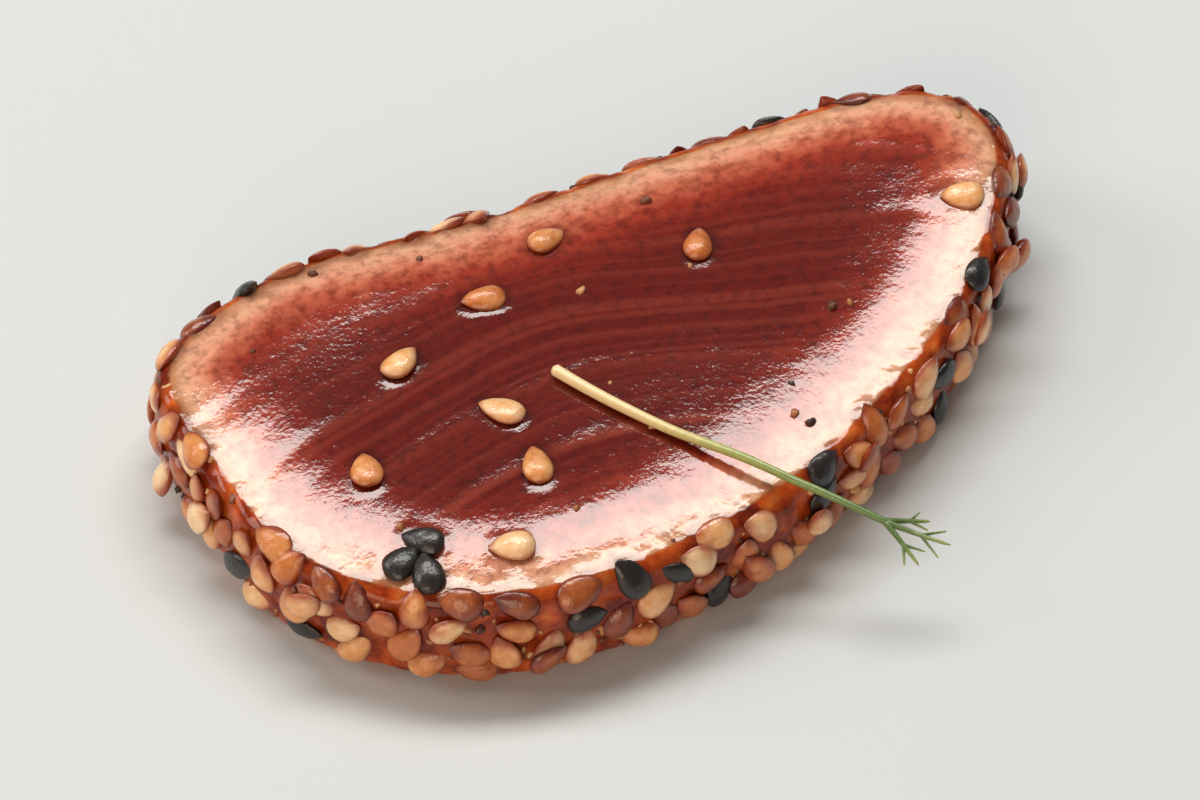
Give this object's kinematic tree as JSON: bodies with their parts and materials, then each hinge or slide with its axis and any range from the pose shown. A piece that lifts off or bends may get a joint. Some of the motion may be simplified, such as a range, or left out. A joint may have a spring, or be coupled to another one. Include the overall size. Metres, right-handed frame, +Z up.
{
  "type": "sesame crusted tuna slice",
  "caption": "Slice of rare tuna seared at its edge, crusted with pale and black sesame seeds, lying on a cut face with a thin green herb sprout on top.",
  "frame": {"origin": "on the flat cut face that the slice rests on, under the middle of its plan without the seeds", "axes": "+X along the slice from its blunt outer end to its narrower tip, -Y towards its rounder edge, +Z up out of the shown cut face"},
  "size_m": [0.0635, 0.0426, 0.0098],
  "materials": {
    "seared_tuna": "moist rare tuna, dark red in the middle and pale at the seared edge, under a glazed sesame crust",
    "herb_green": "fresh herb stem, cream at the cut end and green at the tip"
  },
  "bodies": {
    "root": {"tuna_slice": "seared_tuna", "herb_sprout": "herb_green"}
  },
  "joints": []
}
